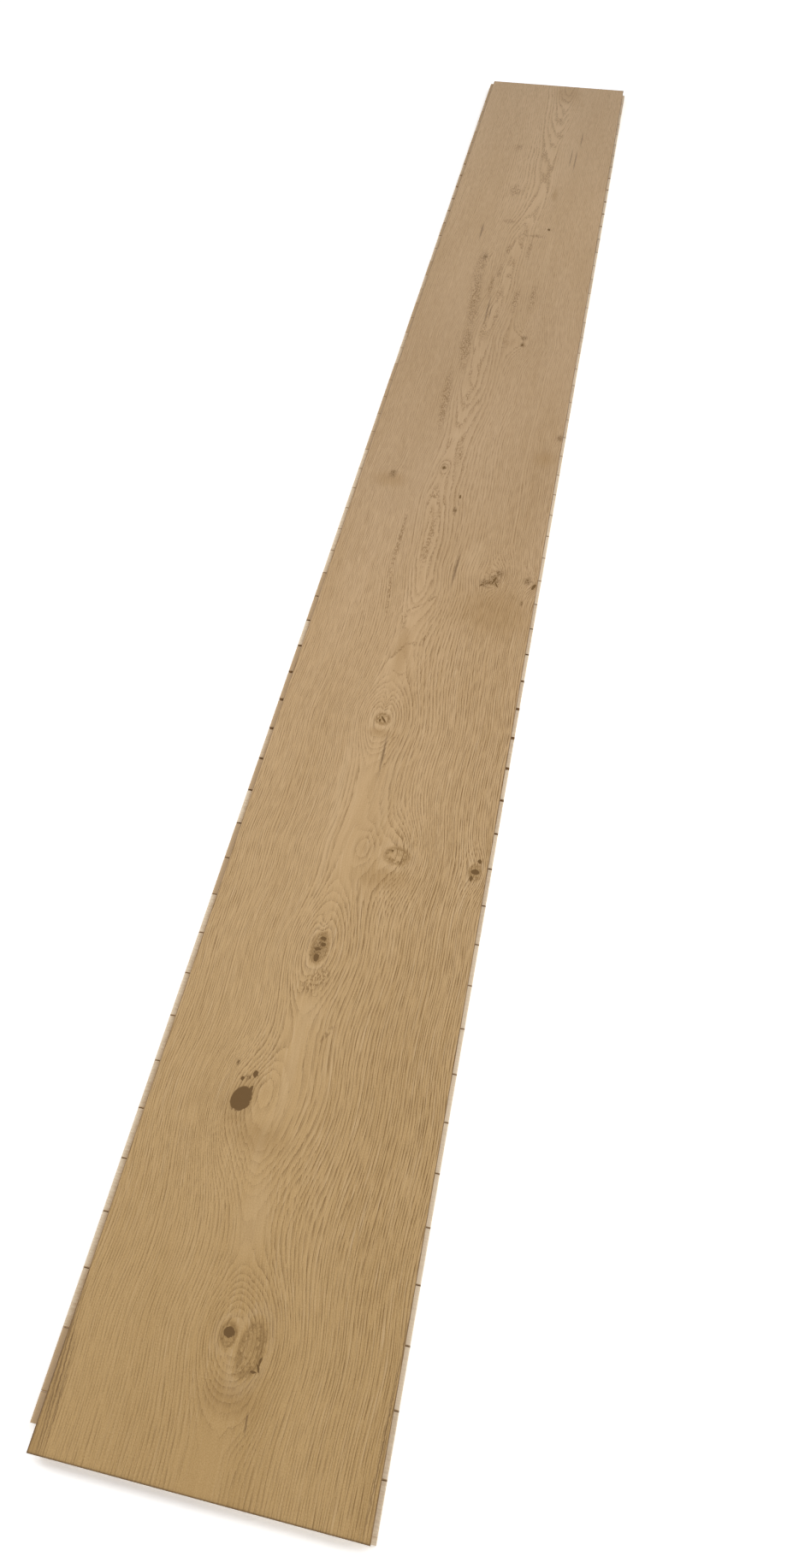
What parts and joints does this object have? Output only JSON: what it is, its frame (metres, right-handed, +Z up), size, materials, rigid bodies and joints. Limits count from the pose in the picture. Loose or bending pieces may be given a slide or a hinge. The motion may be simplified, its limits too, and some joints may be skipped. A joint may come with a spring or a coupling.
{
  "type": "wide plank floorboard",
  "caption": "Wide engineered floorboard: oak wear layer on a core of cross-laid softwood slats with a backing veneer, its edges milled as a locking tongue and groove.",
  "frame": {"origin": "on the underside, below the middle of the oak face", "axes": "+Y along the board from the grooved end to the end with the tongue, +Z up out of the oak face, long tongue at -X and long groove at +X"},
  "size_m": [0.25, 2.205, 0.014],
  "materials": {
    "oak_face": "matt oiled rustic oak with filled knots",
    "core_softwood": "sawn and milled, unfinished",
    "backing_softwood": "sliced veneer, unfinished"
  },
  "bodies": {
    "root": {"oak_wear_layer": "oak_face", "near_end_slat": "core_softwood", "core_slats": "core_softwood", "far_end_slat": "core_softwood", "backing_veneer": "backing_softwood"}
  },
  "joints": []
}
